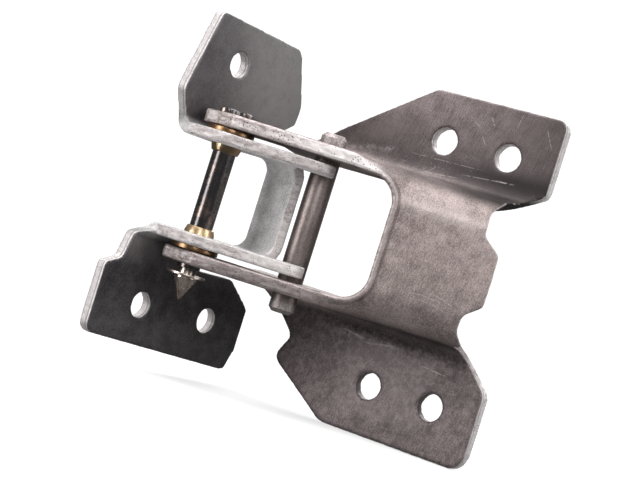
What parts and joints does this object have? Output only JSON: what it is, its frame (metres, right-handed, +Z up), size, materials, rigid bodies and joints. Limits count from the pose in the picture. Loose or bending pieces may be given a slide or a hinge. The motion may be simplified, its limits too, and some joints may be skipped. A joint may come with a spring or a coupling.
{
  "type": "vehicle door hinge",
  "caption": "Pressed-steel vehicle door hinge: a bolted door strap swings on a bushed pin in a raised-saddle pillar strap, between two limits at a stop pin.",
  "frame": {"origin": "middle of the four pillar bolts, on the pillar strap's mounting face", "axes": "+Y points out of the mounting face into the pillar, +Z runs up along the hinge pin, +X along the pillar strap's wings away from the pin"},
  "size_m": [0.1363, 0.098, 0.1498],
  "materials": {
    "pillar_steel": "worn satin",
    "door_coating": "satin",
    "dark_pin": "polished",
    "bronze": "satin",
    "bright_ring": "bright",
    "stop_steel": "satin"
  },
  "bodies": {
    "pillar_half": {"pillar_strap": "pillar_steel", "hinge_pin": "dark_pin", "pin_retaining_ring": "bright_ring", "stop_pin": "stop_steel"},
    "door_half": {"door_strap": "door_coating", "upper_bushing": "bronze", "lower_bushing": "bronze"}
  },
  "joints": [
    {"name": "door_swing", "type": "hinge", "parent": "pillar_half", "child": "door_half", "pos_m": [-0.0764, -0.0685, 0.0046], "axis": [0, 0, 1], "range_deg": [-53, 3.3]}
  ]
}
